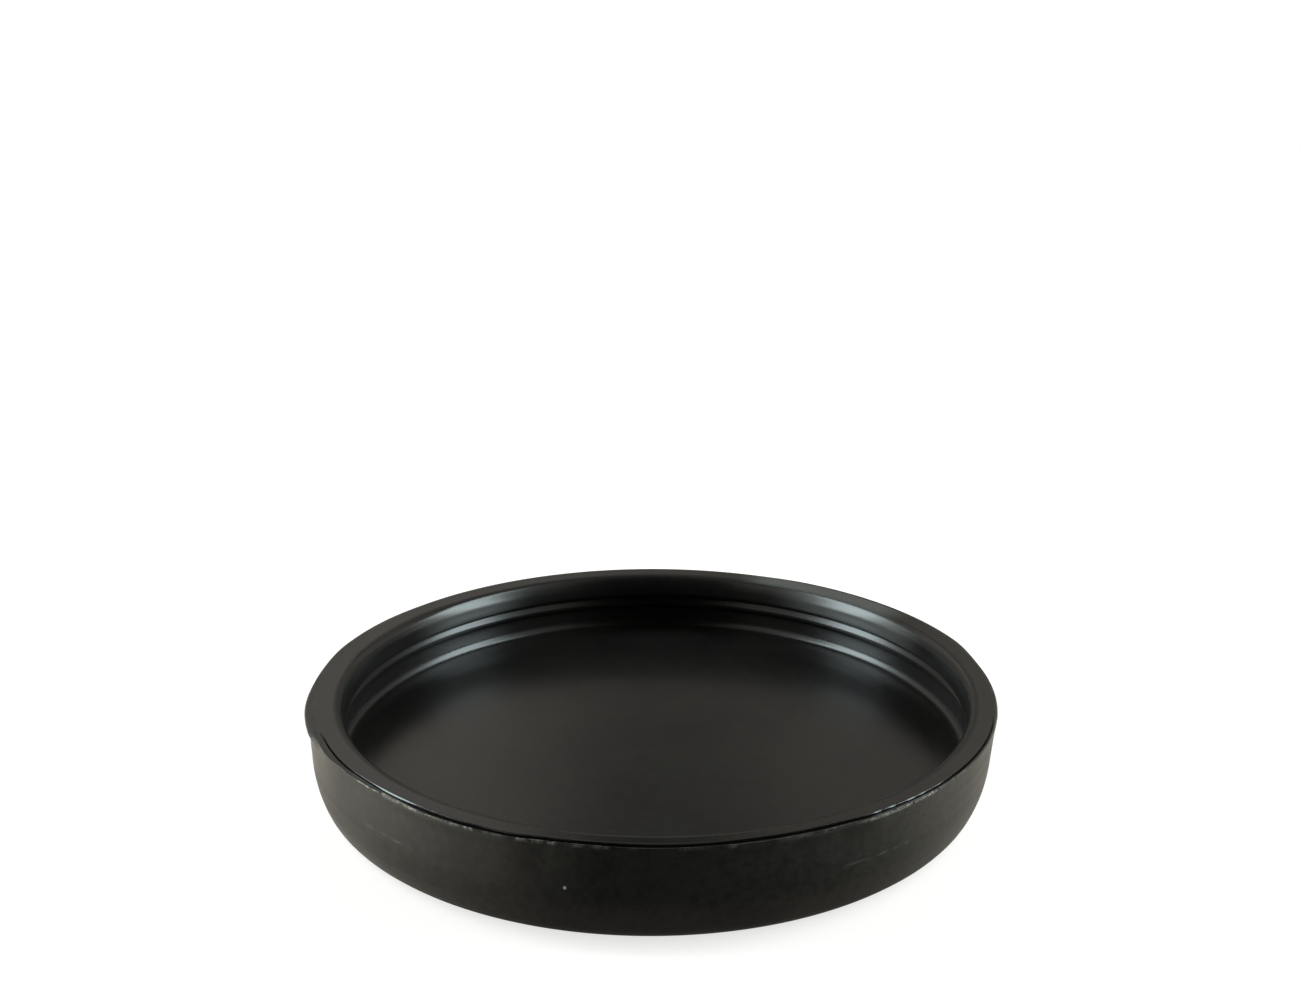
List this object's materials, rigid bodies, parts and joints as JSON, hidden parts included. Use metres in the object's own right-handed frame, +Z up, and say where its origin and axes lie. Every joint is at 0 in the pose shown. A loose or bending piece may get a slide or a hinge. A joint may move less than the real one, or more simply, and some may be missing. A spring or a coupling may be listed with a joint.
{
  "type": "leveling foot cap",
  "caption": "Round black rubber cap, an open cup with a snap lip that grips the plate of a screw-in leveling foot and stands flat on the floor.",
  "frame": {"origin": "centre of the flat underside, where the cap stands on the floor", "axes": "+Z up along the axis of the foot's stud, out of the cap's open side; the cap is round, so +X and +Y are alike"},
  "size_m": [0.032, 0.032, 0.0042],
  "materials": {
    "rubber": "moulded, satin outside and glossy inside"
  },
  "bodies": {
    "root": {"cap": "rubber"}
  },
  "joints": []
}
